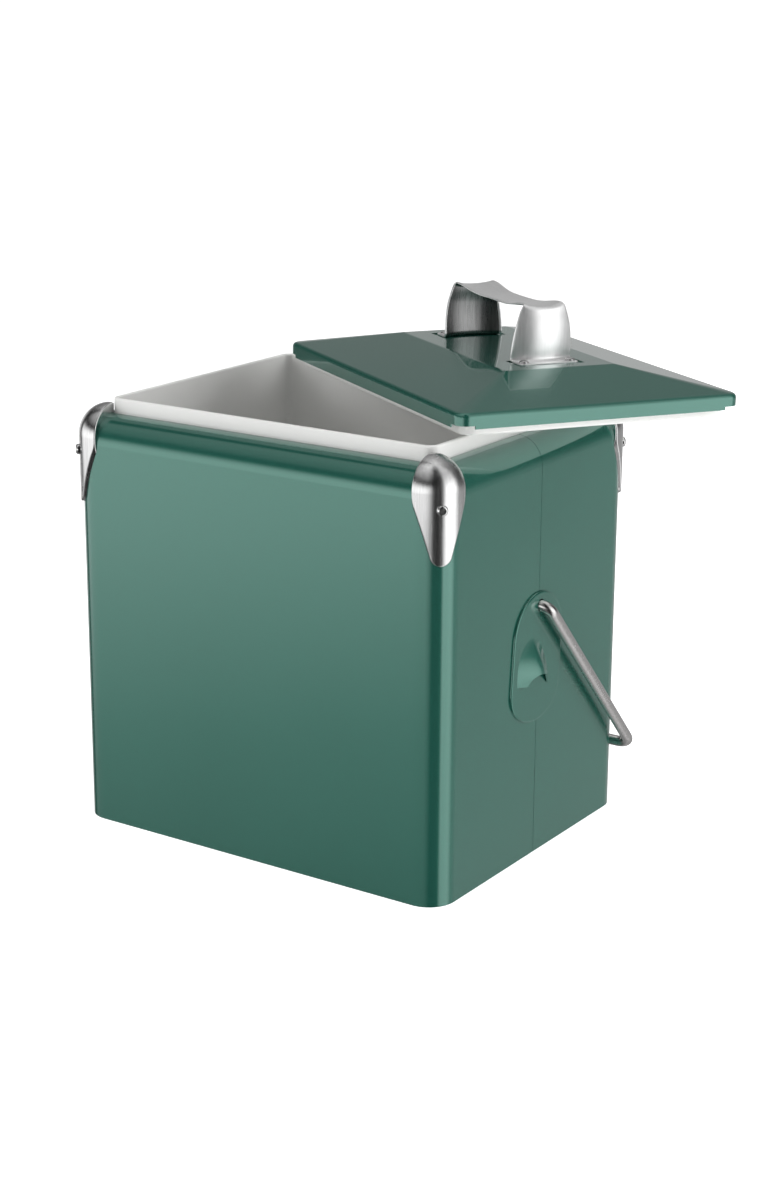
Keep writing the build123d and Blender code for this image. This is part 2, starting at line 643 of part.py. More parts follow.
RIVET_HEAD_RADIUS = 3.4
RIVET_HEAD_HEIGHT = 1.5
RIVET_TAIL_RADIUS = 2.8
RIVET_TAIL_HEIGHT = 1.4
WASHER_RADIUS = 5.5
WASHER_THICKNESS = 1.0
washer_top = LID_PANEL_HEIGHT - SHEET - FOOT_POCKET - 0.05
with BuildPart() as lid_handle_rivets:
    with BuildSketch(LID_PLANE.offset(foot_top + 0.05)):
        with Locations(*rivet_places):
            Circle(RIVET_HEAD_RADIUS)
    extrude(amount=RIVET_HEAD_HEIGHT)
    fillet(lid_handle_rivets.edges().group_by(Axis(LID_PLANE.origin, LID_PLANE.z_dir))[-1], 1.3)
    with BuildSketch(LID_PLANE.offset(foot_top + 0.05)):
        with Locations(*rivet_places):
            Circle(rivet_radius)
    extrude(amount=-(foot_top - washer_top + WASHER_THICKNESS + 0.1))
    with BuildSketch(LID_PLANE.offset(washer_top - WASHER_THICKNESS - 0.05)):
        with Locations(*rivet_places):
            Circle(RIVET_TAIL_RADIUS)
    extrude(amount=-RIVET_TAIL_HEIGHT)
save(lid_handle_rivets, "lid_handle_rivets")

with BuildPart() as lid_rivet_washers:
    with BuildSketch(LID_PLANE.offset(washer_top)):
        with Locations(*rivet_places):
            Circle(WASHER_RADIUS)
            Circle(rivet_radius + 0.1, mode=Mode.SUBTRACT)
    extrude(amount=-WASHER_THICKNESS)
save(lid_rivet_washers, "lid_rivet_washers")
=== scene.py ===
import json
from math import cos, pi, radians, sin

import bmesh
import bpy
from mathutils import Matrix, Vector


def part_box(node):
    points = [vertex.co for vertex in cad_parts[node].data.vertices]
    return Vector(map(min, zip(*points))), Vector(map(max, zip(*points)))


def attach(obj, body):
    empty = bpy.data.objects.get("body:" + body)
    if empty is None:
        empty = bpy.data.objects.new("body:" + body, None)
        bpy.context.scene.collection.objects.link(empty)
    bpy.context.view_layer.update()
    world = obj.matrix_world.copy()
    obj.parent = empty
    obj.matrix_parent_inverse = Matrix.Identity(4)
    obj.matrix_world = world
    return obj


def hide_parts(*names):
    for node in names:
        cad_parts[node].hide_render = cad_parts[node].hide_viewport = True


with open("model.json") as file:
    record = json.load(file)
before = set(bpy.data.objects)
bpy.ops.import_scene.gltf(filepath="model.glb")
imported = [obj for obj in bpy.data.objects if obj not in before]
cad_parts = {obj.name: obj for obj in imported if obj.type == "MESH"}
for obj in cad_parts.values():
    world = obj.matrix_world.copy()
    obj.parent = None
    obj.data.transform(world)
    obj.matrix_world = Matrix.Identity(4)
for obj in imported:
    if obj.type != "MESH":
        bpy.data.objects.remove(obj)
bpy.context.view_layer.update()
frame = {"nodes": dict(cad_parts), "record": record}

# A carry cooler with a white tub, its lid lying askew across the mouth. Metres, the frame of the CAD
# model: -Y is the wide front, +X the narrow side with the bottle opener.

# ---- camera -------------------------------------------------------------------------------------
CAMERA_PLACE = (0.89975, -1.30201, 0.63635)
CAMERA_AZIMUTH = radians(33.675)
CAMERA_PITCH = radians(16.711)
CAMERA_ROLL = radians(0.359)
LENS_MM = 68.62


def make_camera():
    forward = Vector((
        -sin(CAMERA_AZIMUTH) * cos(CAMERA_PITCH), cos(CAMERA_AZIMUTH) * cos(CAMERA_PITCH), -sin(CAMERA_PITCH)
    ))
    right = forward.cross(Vector((0, 0, 1))).normalized()
    up = right.cross(forward)
    axis_x = cos(CAMERA_ROLL) * right + sin(CAMERA_ROLL) * up
    axis_y = cos(CAMERA_ROLL) * up - sin(CAMERA_ROLL) * right
    turn = Matrix((axis_x, axis_y, -forward)).transposed().to_4x4()
    data = bpy.data.cameras.new("photo_camera")
    data.lens = LENS_MM
    camera = bpy.data.objects.new("photo_camera", data)
    camera.matrix_world = Matrix.Translation(CAMERA_PLACE) @ turn
    bpy.context.scene.collection.objects.link(camera)
    bpy.context.scene.camera = camera


# ---- node helpers -------------------------------------------------------------------------------
class Nodes:
    """A short way to write a node tree: each call adds a node, sets or links its inputs."""

    def __init__(self, tree):
        self.tree = tree
        tree.nodes.clear()

    def add(self, kind, settings=None, **inputs):
        node = self.tree.nodes.new(kind)
        for key, value in (settings or {}).items():
            setattr(node, key, value)
        for key, value in inputs.items():
            socket = node.inputs[int(key[1:])] if key[0] == "i" and key[1:].isdigit() else node.inputs[key]
            if isinstance(value, bpy.types.NodeSocket):
                self.tree.links.new(value, socket)
            else:
                socket.default_value = value
        return node

    def math(self, operation, a, b=0.0):
        return self.add("ShaderNodeMath", {"operation": operation}, i0=a, i1=b).outputs[0]

    def scaled(self, value, factor, offset):
        node = self.add("ShaderNodeMath", {"operation": "MULTIPLY_ADD"}, i0=value, i1=factor, i2=offset)
        return node.outputs[0]

    def ramp(self, value, stops):
        """Straight lines between stops; a stop's colour has three values, or one for grey."""
        node = self.add("ShaderNodeValToRGB", i0=value)
        node.color_ramp.interpolation = "LINEAR"
        elements = node.color_ramp.elements
        while len(elements) < len(stops):
            elements.new(0.5)
        for element, (position, colour) in zip(elements, stops):
            element.position = position
            element.color = (*(colour if len(colour) == 3 else colour * 3), 1.0)
        return node.outputs[0]

    def coordinates(self, scale):
        """Object coordinates in metres, scaled."""
        place = self.add("ShaderNodeTexCoord").outputs["Object"]
        mapping = self.add("ShaderNodeMapping", Vector=place)
        mapping.inputs["Scale"].default_value = scale
        return mapping.outputs[0]

    def noise(self, scale, detail, roughness=0.5, stretch=(1.0, 1.0, 1.0)):
        node = self.add(
            "ShaderNodeTexNoise",
            Vector=self.coordinates(stretch), Scale=scale, Detail=detail, Roughness=roughness,
        )
        return node.outputs["Fac"]

    def between(self, factor, low, high):
        """A number that runs from low to high over the middle of a noise's range."""
        return self.add("ShaderNodeMapRange", i0=factor, i1=0.3, i2=0.7, i3=low, i4=high).outputs[0]

    def mix(self, factor, a, b):
        node = self.add("ShaderNodeMix", {"data_type": "RGBA"})
        for socket, value in ((node.inputs[0], factor), (node.inputs[6], a), (node.inputs[7], b)):
            if isinstance(value, bpy.types.NodeSocket):
                self.tree.links.new(value, socket)
            else:
                socket.default_value = value
        return node.outputs[2]

    def bump(self, height, distance, strength, normal=None):
        node = self.add("ShaderNodeBump", Height=height, Distance=distance, Strength=strength)
        if normal is not None:
            self.tree.links.new(normal, node.inputs["Normal"])
        return node.outputs[0]


def new_material(name):
    material = bpy.data.materials.new(name)
    material.use_nodes = True
    return material, Nodes(material.node_tree)


def finish_material(nodes, shader):
    output = nodes.add("ShaderNodeOutputMaterial")
    nodes.tree.links.new(shader.outputs[0], output.inputs["Surface"])


def rgb(red, green, blue):
    """A linear colour from 0-255 display values."""
    def linear(value):
        value /= 255.0
        return value / 12.92 if value <= 0.04045 else ((value + 0.055) / 1.055) ** 2.4

    return (linear(red), linear(green), linear(blue), 1.0)


# ---- materials ----------------------------------------------------------------------------------
def green_paint():
    """Gloss enamel over steel: deep green with a slight orange peel and a faint mottle."""
    material, n = new_material("green_paint")
    mottle = n.noise(7.0, 2.0)
    peel = n.noise(150.0, 1.0)
    colour = n.mix(mottle, (0.020, 0.146, 0.107, 1.0), (0.024, 0.161, 0.120, 1.0))
    roughness = n.scaled(mottle, 0.06, 0.20)
    shader = n.add("ShaderNodeBsdfPrincipled", **{
        "Base Color": colour, "Metallic": 0.52, "Roughness": roughness, "IOR": 1.45,
        "Coat Weight": 1.0, "Coat Roughness": 0.05, "Coat IOR": 1.68,
    })
    n.tree.links.new(n.bump(peel, 0.00001, 0.04), shader.inputs["Coat Normal"])
    n.tree.links.new(n.bump(mottle, 0.0002, 0.04), shader.inputs["Normal"])
    finish_material(n, shader)
    return material


def white_plastic():
    """Satin white moulding with a soft ripple."""
    material, n = new_material("white_plastic")
    cloud = n.noise(9.0, 3.0)
    grain = n.noise(900.0, 2.0)
    colour = n.mix(n.between(cloud, 0.0, 1.0), rgb(232, 232, 230), rgb(238, 238, 236))
    shader = n.add("ShaderNodeBsdfPrincipled", **{
        "Base Color": colour, "Roughness": n.between(cloud, 0.30, 0.38), "IOR": 1.49,
    })
    n.tree.links.new(n.bump(grain, 0.00002, 0.3, n.bump(cloud, 0.001, 0.25)), shader.inputs["Normal"])
    finish_material(n, shader)
    return material


def brushed_steel(name, low, high, roughness, stretch, scratch, metallic=1.0):
    """Satin steel: fine lines along one axis, a little cloudiness and stray hair scratches."""
    material, n = new_material(name)
    lines = n.noise(700.0, 3.0, 0.6, stretch)
    cloud = n.noise(35.0, 3.0)
    stray = n.noise(240.0, 4.0, 0.7, tuple(0.2 + 0.8 * s for s in stretch))
    colour = n.mix(n.between(lines, 0.0, 1.0), low, high)
    spread = 0.03
    along_lines = n.between(lines, roughness - spread, roughness + spread)
    shader = n.add("ShaderNodeBsdfPrincipled", **{
        "Base Color": colour, "Metallic": metallic,
        "Roughness": n.math("ADD", along_lines, n.between(cloud, -spread, spread)),
    })
    n.tree.links.new(n.bump(stray, 0.00001, scratch, n.bump(lines, 0.00001, 0.12)), shader.inputs["Normal"])
    finish_material(n, shader)
    return material


def foam():
    """Pale rigid foam with small open cells."""
    material, n = new_material("foam")
    voronoi = n.add("ShaderNodeTexVoronoi", Vector=n.coordinates((1, 1, 1)), Scale=420.0)
    cells = voronoi.outputs["Distance"]
    colour = n.mix(cells, rgb(214, 204, 170), rgb(240, 232, 204))
    shader = n.add("ShaderNodeBsdfPrincipled", **{
        "Base Color": colour, "Roughness": n.between(cells, 0.75, 0.95),
    })
    n.tree.links.new(n.bump(cells, 0.0004, 0.6), shader.inputs["Normal"])
    finish_material(n, shader)
    return material


def black_nylon():
    """Dark moulded nylon."""
    material, n = new_material("nylon")
    grain = n.noise(700.0, 2.0)
    colour = n.mix(grain, rgb(22, 22, 23), rgb(40, 40, 41))
    shader = n.add("ShaderNodeBsdfPrincipled", **{
        "Base Color": colour, "Roughness": n.between(grain, 0.4, 0.55),
    })
    n.tree.links.new(n.bump(grain, 0.00003, 0.4), shader.inputs["Normal"])
    finish_material(n, shader)
    return material


# The steels: darkest and lightest colour, roughness, stretch of the grain, strength of the scratches,
# and how metallic it is where that is under 1.
ALONG_Z = (1, 1, 0.05)
EVEN = (1, 1, 1)
STEELS = {
    "stainless": (rgb(214, 214, 214), rgb(232, 232, 232), 0.24, ALONG_Z, 0.15),
    "bail_steel": (rgb(206, 204, 203), rgb(228, 226, 225), 0.24, EVEN, 0.3),
    "rivet_steel": (rgb(190, 190, 190), rgb(220, 220, 220), 0.25, EVEN, 0.2),
    "screw_steel": (rgb(205, 205, 205), rgb(230, 230, 230), 0.16, EVEN, 0.1),
    # the strap's outer face: a brightened copy of the stainless, painted light from the right softbox
    "strap_outside": (rgb(240, 240, 240), rgb(252, 252, 252), 0.34, ALONG_Z, 0.3, 0.78),
    # the strap's inner face: a darkened copy of the stainless, painted shade
    "strap_inside": (rgb(112, 112, 112), rgb(142, 142, 142), 0.27, ALONG_Z, 0.3),
}


def paint_nodes():
    """Gives every CAD node the material of its slot, and returns all the materials."""
    slots = {part["node"]: part["material_slot"] for part in frame["record"]["subparts"]}
    finishes = {
        "green_paint": green_paint(),
        "white_plastic": white_plastic(),
        "foam": foam(),
        "nylon": black_nylon(),
    }
    for name, values in STEELS.items():
        finishes[name] = brushed_steel(name, *values)
    for name, node in frame["nodes"].items():
        node.data.materials.clear()
        node.data.materials.append(finishes[slots[name]])
    return finishes


# ---- studio -------------------------------------------------------------------------------------
def make_floor():
    """A pale floor that runs to the horizon and glows a little, so that only a faint shadow shows."""
    half = 40.0
    corners = [(-half, -half, 0), (half, -half, 0), (half, half, 0), (-half, half, 0)]
    mesh = bpy.data.meshes.new("studio_floor")
    mesh.from_pydata(corners, [], [(0, 1, 2, 3)])
    floor = bpy.data.objects.new("studio_floor", mesh)
    bpy.context.scene.collection.objects.link(floor)
    material, n = new_material("floor_white")
    shader = n.add("ShaderNodeBsdfPrincipled", **{
        "Base Color": (0.9, 0.9, 0.9, 1.0), "Roughness": 0.9,
        "Emission Color": (1.0, 1.0, 1.0, 1.0), "Emission Strength": 0.75,
    })
    shader.inputs["Specular IOR Level"].default_value = 0.0
    finish_material(n, shader)
    mesh.materials.append(material)
    floor.visible_glossy = False


def area_light(name, place, target, size, power):
    """A soft light that aims at the target and is not mirrored in the object."""
    data = bpy.data.lights.new(name, "AREA")
    data.shape = "RECTANGLE"
    data.size, data.size_y = size
    data.energy = power
    light = bpy.data.objects.new(name, data)
    light.location = place
    light.rotation_euler = (Vector(target) - Vector(place)).to_track_quat("-Z", "Y").to_euler()
    light.visible_glossy = False
    bpy.context.scene.collection.objects.link(light)


# The studio that the object mirrors: four walls that fade into each other round it. Azimuth runs in
# degrees from the front (-Y) toward the right (+X), with the shares of the front-left softbox, the
# right softbox and the dim wall behind on the left.
WALLS = [
    (-180, (0.00, 0.00, 0.68)), (-150, (0.00, 0.00, 1.00)), (-130, (0.30, 0.00, 0.60)),
    (-108, (0.65, 0.00, 0.10)), (-102, (0.04, 0.00, 0.04)), (-89, (0.04, 0.00, 0.00)),
    (-83, (0.85, 0.00, 0.00)), (-40, (1.00, 0.00, 0.00)), (8, (1.00, 0.00, 0.00)),
    (20, (0.70, 0.00, 0.00)), (33, (0.03, 0.00, 0.00)), (66, (0.00, 0.02, 0.00)),
    (76, (0.00, 0.95, 0.00)), (108, (0.00, 1.00, 0.00)), (116, (0.00, 0.60, 0.00)),
    (125, (0.00, 0.05, 0.00)), (150, (0.00, 0.00, 0.00)), (180, (0.00, 0.00, 0.68)),
]
# The share of the fourth, the dim wall behind on the right.
WALL_BEHIND = [(-180, 0.2), (-150, 0.0), (108, 0.0), (128, 0.9), (150, 1.0), (180, 0.2)]
# Brightness of each wall by elevation in degrees.
FRONT_LEFT = [
    (-90, 0.20), (-35, 0.18), (-24, 0.26), (-20, 0.46), (-15, 1.15), (-10, 1.50), (0, 1.45), (8, 1.05),
    (14, 0.34), (18, 0.03), (27, 0.06), (36, 0.30), (55, 0.55), (75, 0.90), (90, 1.00),
]
RIGHT = [
    (-90, 0.80), (-24, 1.30), (-12, 1.80), (0, 1.90), (12, 1.60), (26, 1.00), (45, 0.70), (70, 0.80),
    (90, 1.00),
]
BACK_LEFT = [
    (-90, 0.40), (-30, 0.45), (-10, 0.50), (4, 0.44), (12, 0.38), (22, 0.24), (40, 0.26), (60, 0.45),
    (90, 1.00),
]
BACK_RIGHT = [
    (-90, 0.40), (-30, 0.42), (-16, 0.40), (-6, 0.26), (0, 0.10), (8, 0.03), (24, 0.03), (60, 0.30),
    (90, 1.00),
]
# The ramps keep each brightness as a share of this one, so that they stay between 0 and 1.
FULL_BRIGHTNESS = 2.0


def make_world():
    world = bpy.data.worlds.new("studio")
    world.use_nodes = True
    bpy.context.scene.world = world
    n = Nodes(world.node_tree)
    direction = n.add("ShaderNodeTexCoord").outputs["Generated"]
    x, y, z = n.add("ShaderNodeSeparateXYZ", Vector=direction).outputs
    azimuth = n.math("ARCTAN2", x, n.math("MULTIPLY", y, -1.0))
    around = n.scaled(azimuth, 1 / (2 * pi), 0.5)
    upward = n.scaled(n.math("ARCSINE", z), 1 / pi, 0.5)
    shares = n.ramp(around, [((turn + 180) / 360, share) for turn, share in WALLS])
    behind = n.ramp(around, [((turn + 180) / 360, (share,)) for turn, share in WALL_BEHIND])
    walls = [
        n.ramp(upward, [((tilt + 90) / 180, (level / FULL_BRIGHTNESS,)) for tilt, level in wall])
        for wall in (FRONT_LEFT, RIGHT, BACK_LEFT, BACK_RIGHT)
    ]
    levels = n.add("ShaderNodeCombineXYZ", X=walls[0], Y=walls[1], Z=walls[2]).outputs[0]
    product = n.add("ShaderNodeVectorMath", {"operation": "DOT_PRODUCT"}, i0=shares, i1=levels)
    mirrored = n.math("ADD", product.outputs["Value"], n.math("MULTIPLY", behind, walls[3]))
    # seen directly, the studio is plain white
    direct = n.add("ShaderNodeLightPath").outputs["Is Camera Ray"]
    indirect = n.math("MULTIPLY", mirrored, n.scaled(direct, -1.0, 1.0))
    level = n.math("ADD", indirect, n.math("MULTIPLY", direct, 1 / FULL_BRIGHTNESS))
    background = n.add("ShaderNodeBackground", Color=level, Strength=FULL_BRIGHTNESS)
    output = n.add("ShaderNodeOutputWorld")
    n.tree.links.new(background.outputs[0], output.inputs["Surface"])


def make_lights():
    centre = (0, 0, 0.15)
    area_light("fill_front", (-1.65, -1.4, 1.2), centre, (1.4, 1.4), 20)
    area_light("fill_right", (1.6, 1.1, 0.9), centre, (1.4, 1.4), 22)
    area_light("top", (0.1, 0.1, 2.2), centre, (1.8, 1.8), 13)


# ---- modelled pieces ----------------------------------------------------------------------------
# The points of each rounded edge of a sheet, between its two faces.
EDGE_STEPS = 5


def smooth_step(low, high, value):
    """0 at low, 1 at high, with level ends; low may be the greater of the two."""
    t = min(max((value - low) / (high - low), 0.0), 1.0)
    return t * t * (3 - 2 * t)


def add_piece(name, points, faces, material):
    mesh = bpy.data.meshes.new(name)
    mesh.from_pydata([tuple(p) for p in points], [], faces)
    mesh.validate()
    mesh.polygons.foreach_set("use_smooth", [True] * len(mesh.polygons))
    mesh.set_sharp_from_angle(angle=radians(50))
    mesh.materials.append(material)
    piece = bpy.data.objects.new(name, mesh)
    bpy.context.scene.collection.objects.link(piece)
    return piece


def thick_sheet(place, rows, columns, thickness):
    """Points and faces of a closed sheet under the surface place(s, u), s in 0..1 and u in -1..1, with
    rounded long edges."""
    points, faces = [], []
    step = 1e-3
    half = thickness / 2
    turns = [pi * k / (EDGE_STEPS + 1) for k in range(1, EDGE_STEPS + 1)]
    for i in range(rows + 1):
        s = i / rows
        frames = []
        for j in range(columns + 1):
            u = -1 + 2 * j / columns
            along = place(min(s + step, 1), u) - place(max(s - step, 0), u)
            across = place(s, min(u + step, 1)) - place(s, max(u - step, -1))
            frames.append((place(s, u), along.cross(across).normalized(), across.normalized()))
        points += [p for p, _, _ in frames]
        p, normal, side = frames[-1]
        points += [p - half * normal + half * (cos(a) * normal + sin(a) * side) for a in turns]
        points += [p - thickness * normal for p, normal, _ in reversed(frames)]
        p, normal, side = frames[0]
        points += [p - half * normal - half * (cos(a) * normal + sin(a) * side) for a in turns]
    ring = len(points) // (rows + 1)
    for i in range(rows):
        for j in range(ring):
            k = (j + 1) % ring
            faces.append((i * ring + j, i * ring + k, (i + 1) * ring + k, (i + 1) * ring + j))
    # the two ends, each a row of quads between two half rounds
    width = columns + 1
    under = width + EDGE_STEPS
    after = under + width
    rounds = ((width - 1, under, width), (after - 1, 0, after))
    for start, flip in ((0, True), (rows * ring, False)):
        for j in range(columns):
            quad = [start + j, start + j + 1, start + after - 2 - j, start + after - 1 - j]
            faces.append(tuple(reversed(quad)) if flip else tuple(quad))
        for first, last, arc in rounds:
            fan = [start + first] + [start + arc + k for k in range(EDGE_STEPS)] + [start + last]
            faces.append(tuple(reversed(fan)) if flip else tuple(fan))
    return points, faces


# The lid lies turned by about this much on the tub.
LID_TURN = radians(-30.6)
# Height in metres of the rivets' tops over the lid's base plane.
RIVET_TOP = 0.02635


def lid_placement():
    """The lid's own frame, found from its four rivets: origin on the lid's base plane, x along the strap."""
    corners = {}
    points = [vertex.co.copy() for vertex in frame["nodes"]["lid_handle_rivets"].data.vertices]
    middle = sum(points, Vector()) / len(points)
    rough_x = Vector((cos(LID_TURN), sin(LID_TURN), 0))
    rough_y = Vector((-rough_x.y, rough_x.x, 0))
    for point in points:
        key = ((point - middle).dot(rough_x) > 0, (point - middle).dot(rough_y) > 0)
        corners.setdefault(key, []).append(point)
    centre = {}
    for key, group in corners.items():
        low = Vector([min(p[i] for p in group) for i in range(3)])
        high = Vector([max(p[i] for p in group) for i in range(3)])
        centre[key] = (low + high) / 2
    diagonal = centre[True, True] - centre[False, False]
    across = centre[True, False] - centre[False, True]
    x_axis = (diagonal + across).normalized()
    y_axis = (diagonal - across).normalized()
    z_axis = x_axis.cross(y_axis).normalized()
    middle = sum(centre.values(), Vector()) / 4
    top = max((p - middle).dot(z_axis) for p in points)
    origin = middle + (top - RIVET_TOP) * z_axis
    return Matrix((x_axis, y_axis, z_axis)).transposed().to_4x4(), origin


# The strap's upper face in the lid's own frame, millimetres: x along the strap from its middle, z up.
# A bridge, level as far as BRIDGE_LEVEL, rises to a rolled end, a wall drops from that, and a foot
# lies along the lid.
BRIDGE_HEIGHT = 59.8
BRIDGE_LEVEL = 14.0
ROLL_START = 52.0
ROLL_RADIUS = 3.2
WALL_HEIGHT = 33.2
WALL_LEAN = 0.8
WALL_LEAN_END = 48.0
WALL_BELLY = 0.9
FOOT_START = 57.9
FOOT_END = 65.0
FOOT_BEND_LENGTH = 1.9
FOOT_BEND_HEIGHT = 1.8
FOOT_HALF = 22.0
FOOT_CORNER = 3.0
# The walls are cupped round upright axes this far from the strap's middle.
WALL_AXIS = 8.4
# The arched wall: its half width at the foot and the top, the height it starts at and its own height.
ARCH_FOOT_HALF = 23.0
ARCH_TOP_HALF = 13.6
ARCH_BASE = 25.0
ARCH_HEIGHT = 38.5
# The bridge's half width at its middle, and what it gains toward its ends.
BRIDGE_HALF = 12.0
BRIDGE_FLARE = 2.2
# The raised lips of the rolled ends, and the slight curl of the bridge's edges.
LIP_RISE = 1.0
BRIDGE_CURL = 0.4
# In metres: the sheet's thickness, and how far the strap is set down to stay inside the solid handle.
STRAP_SHEET = 0.0014
STRAP_DROP = 0.00006


def strap_profile():
    """The strap's middle line from the bridge's middle to the foot's end, as x and z in millimetres."""
    line = [(BRIDGE_LEVEL * k / 7, BRIDGE_HEIGHT) for k in range(8)]
    for k in range(1, 29):
        t = k / 28
        rise = ROLL_RADIUS * smooth_step(0, 1, t)
        line.append((BRIDGE_LEVEL + (ROLL_START - BRIDGE_LEVEL) * t, BRIDGE_HEIGHT + rise))
    for k in range(1, 15):
        turn = pi / 2 * k / 14
        line.append((ROLL_START + ROLL_RADIUS * sin(turn), BRIDGE_HEIGHT + ROLL_RADIUS * cos(turn)))
    for k in range(1, 45):
        drop = WALL_HEIGHT * k / 44
        lean = WALL_LEAN * smooth_step(BRIDGE_HEIGHT, WALL_LEAN_END, BRIDGE_HEIGHT - drop)
        belly = WALL_BELLY * sin(pi * drop / WALL_HEIGHT)
        line.append((ROLL_START + ROLL_RADIUS + lean + belly, BRIDGE_HEIGHT - drop))
    wall_end = BRIDGE_HEIGHT - WALL_HEIGHT
    for k in range(1, 9):
        turn = pi / 2 * k / 8
        line.append((FOOT_START - FOOT_BEND_LENGTH * cos(turn), wall_end - FOOT_BEND_HEIGHT * sin(turn)))
    foot = FOOT_END - FOOT_START
    line += [(FOOT_START + foot * k / 12, wall_end - FOOT_BEND_HEIGHT) for k in range(1, 13)]
    return line


STRAP_LINE = strap_profile()
STRAP_LENGTHS = [0.0]
for (near_x, near_z), (far_x, far_z) in zip(STRAP_LINE, STRAP_LINE[1:]):
    STRAP_LENGTHS.append(STRAP_LENGTHS[-1] + ((near_x - far_x) ** 2 + (near_z - far_z) ** 2) ** 0.5)


def strap_line_at(wanted):
    """x and z of the strap's middle line at a length along it."""
    k = 0
    while k < len(STRAP_LENGTHS) - 2 and STRAP_LENGTHS[k + 1] < wanted:
        k += 1
    part = (wanted - STRAP_LENGTHS[k]) / (STRAP_LENGTHS[k + 1] - STRAP_LENGTHS[k])
    x = STRAP_LINE[k][0] + part * (STRAP_LINE[k + 1][0] - STRAP_LINE[k][0])
    z = STRAP_LINE[k][1] + part * (STRAP_LINE[k + 1][1] - STRAP_LINE[k][1])
    return x, z


def strap_place(s, u):
    """A point of the strap's upper and outer face, in the lid's own frame, in metres."""
    sign = 1.0 if s < 0.5 else -1.0
    x, z = strap_line_at(abs(1 - 2 * s) * STRAP_LENGTHS[-1])
    foot_from = FOOT_START - 0.7
    if x > foot_from:
        past = max(x - (FOOT_END - FOOT_CORNER), 0)
        half = FOOT_HALF - (FOOT_CORNER - max(FOOT_CORNER ** 2 - past ** 2, 0) ** 0.5)
        cupped = 1 - smooth_step(foot_from, FOOT_END - 1, x)
    else:
        # the arched outline seen from the end
        height = min(max((z - ARCH_BASE) / ARCH_HEIGHT, 0), 1)
        arch = ARCH_TOP_HALF + (ARCH_FOOT_HALF - ARCH_TOP_HALF) * max(1 - height ** 2.3, 0) ** 0.72
        bridge = BRIDGE_HALF + BRIDGE_FLARE * smooth_step(0, ROLL_START - 6, x)
        half = bridge + (arch - bridge) * smooth_step(ROLL_START - 5, ROLL_START + 2, x)
        cupped = smooth_step(ROLL_START - 22, ROLL_START, x)
    y = u * half
    reach = max(x - WALL_AXIS, 1.0)
    x -= cupped * (reach - max(reach * reach - y * y, 0.0) ** 0.5)
    # lips raised along the edges, with a trough between them, fading down the wall and along the bridge
    lip = smooth_step(ROLL_START - 30, ROLL_START - 4, x)
    lip *= smooth_step(BRIDGE_HEIGHT - 7.8, BRIDGE_HEIGHT + 1.2, z)
    curl = BRIDGE_CURL * (1 - lip) * (1 - smooth_step(ROLL_START - 22, ROLL_START - 2, x))
    z += lip * LIP_RISE * (abs(u) ** 3 - (1 - u * u)) + curl * u * u
    return Vector((sign * x, y, z)) / 1000


def make_strap(outside, inside):
    """The pressed strap handle on the lid, one sheet from foot to foot."""
    turn, origin = lid_placement()
    rows, columns = 260, 40
    points, faces = thick_sheet(lambda s, u: strap_place(s, -u), rows, columns, STRAP_SHEET)
    points = [turn @ (p - Vector((0, 0, STRAP_DROP))) + origin for p in points]
    piece = add_piece("lid_strap", points, faces, outside)
    # the inner face gets a darker copy of the steel: painted shade for the shadow of the strap and the lid
    piece.data.materials.append(inside)
    ring = len(points) // (rows + 1)
    for polygon in piece.data.polygons[:rows * ring]:
        if columns + EDGE_STEPS < polygon.index % ring < 2 * columns + EDGE_STEPS:
            polygon.material_index = 1
    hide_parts("lid_handle")
    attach(piece, "lid")


# The opener plate's own frame: origin at the pivot on the casing's face, millimetres, x out of the
# face and y toward the rear. The plate is half round above PLATE_UPPER and half oval below PLATE_LOWER.
PLATE_TILT = radians(-4.5)
PLATE_HALF = 32.5
PLATE_RISE = 1.8
PLATE_UPPER = -22.7
PLATE_LOWER = -59.0
PLATE_OVAL = 24.0
PLATE_BEVEL = 1.3
PIVOT_HOLE_RADIUS = 4.4
# The hood bulges out of the plate and ends in a mouth with a bite out of its edge. Its sheet is in metres.
HOOD_APEX = -19.5
HOOD_LENGTH = 36.2
HOOD_HALF = 22.0
HOOD_RISE = 8.0
HOOD_CREST = 0.2
HOOD_SHEET = 0.0012
BITE_DEPTH = 9.0
BITE_MIDDLE = 0.15
BITE_HALF = 0.7
# A small locating pip under the mouth.
PIP_Y = -13.8
PIP_Z = -59.1
PIP_RADIUS = 0.9
PIP_RISE = 0.5


def plate_place(x, y, z, pivot):
    """A point of the plate's own frame, in the scene's frame."""
    up = z * cos(PLATE_TILT) + y * sin(PLATE_TILT)
    back = y * cos(PLATE_TILT) - z * sin(PLATE_TILT)
    return Vector((pivot.x + x / 1000, pivot.y + back / 1000, pivot.z + up / 1000))


def hood_place(s, u):
    """A point of the opener's hood, s from its apex to its mouth and u across, in the plate's frame."""
    bite = max(1 - ((u - BITE_MIDDLE) / BITE_HALF) ** 2, 0.0) ** 0.8
    z = HOOD_APEX - s * (HOOD_LENGTH + 1.8 * u - BITE_DEPTH * bite)
    half = HOOD_HALF * max(1 - ((z + 58) / 39) ** 2, 0.0) ** 0.55
    middle = -5.5 - 0.19 * (z + 50)
    height = HOOD_RISE * smooth_step(HOOD_APEX, -50, z) ** 0.9
    # two nearly flat flanks that meet in a rounded crest, off the middle
    left = max((1 + u) / (1 + HOOD_CREST), 1e-4)
    right = max((1 - u) / (1 - HOOD_CREST), 1e-4)
    ridge = (0.5 * (left ** -6 + right ** -6)) ** (-1 / 6)
    return (PLATE_RISE - 0.25 + height * ridge, middle + u * half, z)


def plate_outline():
    """y and z round the plate's edge."""
    steps = 96
    outline = []
    for k in range(steps + 1):
        angle = pi * k / steps
        outline.append((PLATE_HALF * cos(angle), PLATE_UPPER + PLATE_HALF * sin(angle)))
    for k in range(steps + 1):
        angle = pi + pi * k / steps
        outline.append((PLATE_HALF * cos(angle), PLATE_LOWER + PLATE_OVAL * sin(angle)))
    return outline


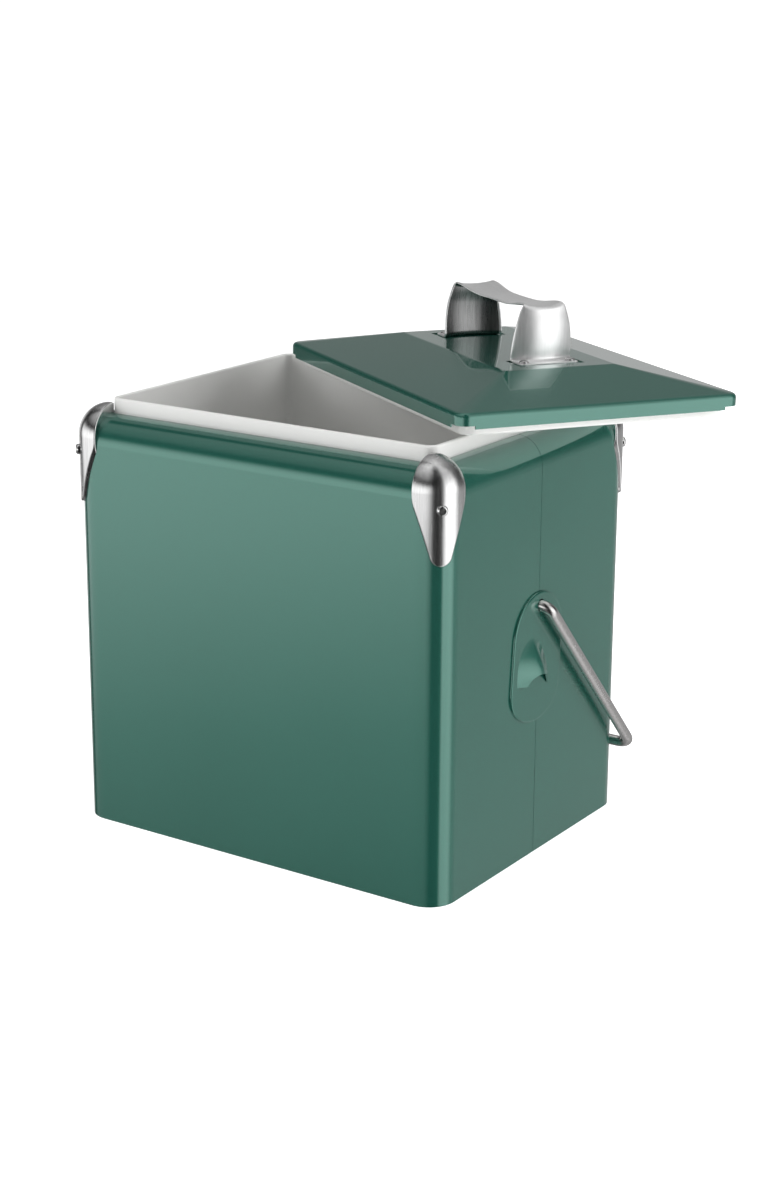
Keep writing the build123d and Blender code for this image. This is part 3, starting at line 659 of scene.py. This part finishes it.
def plate_edge(outline, pivot):
    """Points and faces of the plate's upright edge and its rounded bevel; the last ring is the rim."""
    base = PLATE_RISE - PLATE_BEVEL
    rings = [(0.0, 0.0), (base, 0.0)]
    for k in range(1, 7):
        turn = pi / 2 * k / 6
        rings.append((base + PLATE_BEVEL * sin(turn), PLATE_BEVEL * (1 - cos(turn))))
    points, faces = [], []
    for rise, inset in rings:
        for y, z in outline:
            centre_z = min(max(z, PLATE_LOWER), PLATE_UPPER)
            inset_z = centre_z + (z - centre_z) * (1 - inset / 28)
            points.append(plate_place(rise, y * (1 - inset / PLATE_HALF), inset_z, pivot))
    count = len(outline)
    for i in range(len(rings) - 1):
        for j in range(count):
            k = (j + 1) % count
            faces.append((i * count + j, i * count + k, (i + 1) * count + k, (i + 1) * count + j))
    return points, faces


def plate_face(rim_points, pivot):
    """Points and faces of the plate's flat face, filled between its rim and the pivot's hole."""
    mesh = bmesh.new()
    rim = [mesh.verts.new(p) for p in rim_points]
    steps = 40
    hole = []
    for k in range(steps):
        angle = 2 * pi * k / steps
        y, z = PIVOT_HOLE_RADIUS * cos(angle), PIVOT_HOLE_RADIUS * sin(angle)
        hole.append(mesh.verts.new(plate_place(PLATE_RISE, y, z, pivot)))
    edges = []
    for ring in (rim, hole):
        edges += [mesh.edges.new((ring[k], ring[(k + 1) % len(ring)])) for k in range(len(ring))]
    bmesh.ops.triangle_fill(mesh, use_beauty=True, edges=edges)
    mesh.verts.index_update()
    points = [v.co.copy() for v in mesh.verts]
    faces = []
    for face in mesh.faces:
        order = [v.index for v in face.verts]
        faces.append(tuple(order if face.normal.x > 0 else reversed(order)))
    mesh.free()
    return points, faces


def plate_pip(pivot):
    """Points and faces of the locating pip, a low cone."""
    points = [plate_place(PLATE_RISE + PIP_RISE, PIP_Y, PIP_Z, pivot)]
    for k in range(12):
        angle = pi * k / 6
        y, z = PIP_Y + PIP_RADIUS * cos(angle), PIP_Z + PIP_RADIUS * sin(angle)
        points.append(plate_place(PLATE_RISE, y, z, pivot))
    return points, [(0, 1 + k, 1 + (k + 1) % 12) for k in range(12)]


def make_opener_plate(material):
    """The pressed plate round the right pivot, with the bottle opener's hood."""
    socket_low, socket_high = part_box("pivot_socket_right")
    casing_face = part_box("shell_front")[1][0]
    pivot = Vector((casing_face, (socket_low[1] + socket_high[1]) / 2, (socket_low[2] + socket_high[2]) / 2))
    outline = plate_outline()
    points, faces = plate_edge(outline, pivot)
    hood = thick_sheet(lambda s, u: plate_place(*hood_place(s, u), pivot), 60, 64, HOOD_SHEET)
    for more_points, more_faces in (plate_face(points[-len(outline):], pivot), hood, plate_pip(pivot)):
        start = len(points)
        points += more_points
        faces += [tuple(start + k for k in face) for face in more_faces]
    piece = add_piece("opener_plate", points, faces, material)
    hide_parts("side_plate_right")
    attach(piece, "cooler")


# ---- the scene ----------------------------------------------------------------------------------
make_camera()
finishes = paint_nodes()
make_strap(finishes["strap_outside"], finishes["strap_inside"])
make_opener_plate(finishes["green_paint"])
make_floor()
make_world()
make_lights()
bpy.context.scene.view_settings.view_transform = "Standard"
